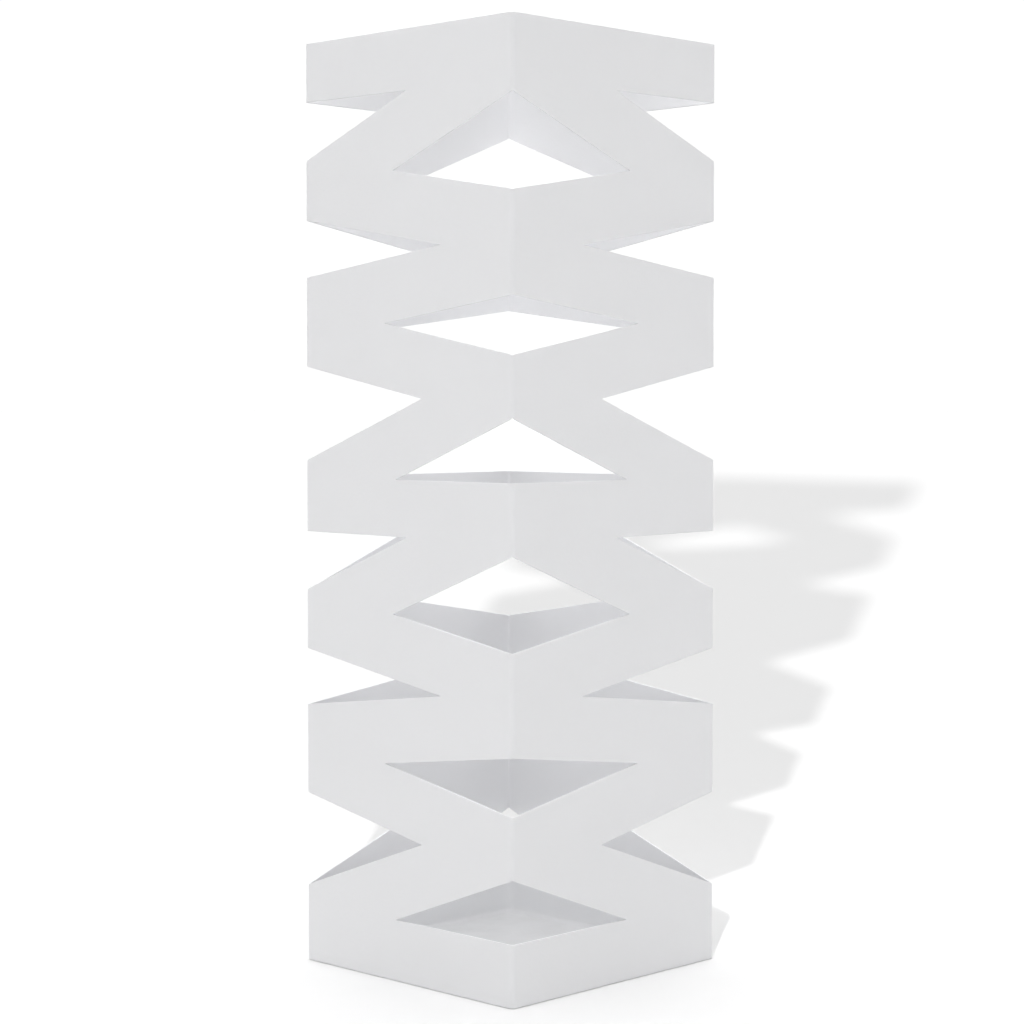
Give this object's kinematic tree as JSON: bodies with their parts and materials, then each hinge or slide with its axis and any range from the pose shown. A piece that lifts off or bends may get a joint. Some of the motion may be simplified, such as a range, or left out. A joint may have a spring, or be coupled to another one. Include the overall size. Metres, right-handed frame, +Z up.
{
  "type": "umbrella stand",
  "caption": "Tall square umbrella stand of white folded sheet steel, open at the top, with tapering cut-outs wrapped round its corners and a lift-out drip tray.",
  "frame": {"origin": "centre of the stand's footprint, on the floor", "axes": "+Z up; the folded front corner, which faces the viewer, is at +X -Y and the folded rear corner at -X +Y; the welded seams are the other two corners"},
  "size_m": [0.155, 0.155, 0.49],
  "materials": {
    "shell_paint": "satin white powder coat",
    "base_paint": "satin white powder coat",
    "tray_plastic": "moulded white plastic, fine matt grain",
    "pad_rubber": "matt dark rubber"
  },
  "bodies": {
    "stand": {"front_shell": "shell_paint", "rear_shell": "shell_paint", "base_plate": "base_paint", "foot_pad_front": "pad_rubber", "foot_pad_left": "pad_rubber", "foot_pad_right": "pad_rubber", "foot_pad_rear": "pad_rubber"},
    "tray": {"drip_tray": "tray_plastic"}
  },
  "joints": [
    {"name": "tray_lift", "type": "slide", "parent": "stand", "child": "tray", "axis": [0, 0, 1], "range_m": [0, 0.5]}
  ]
}
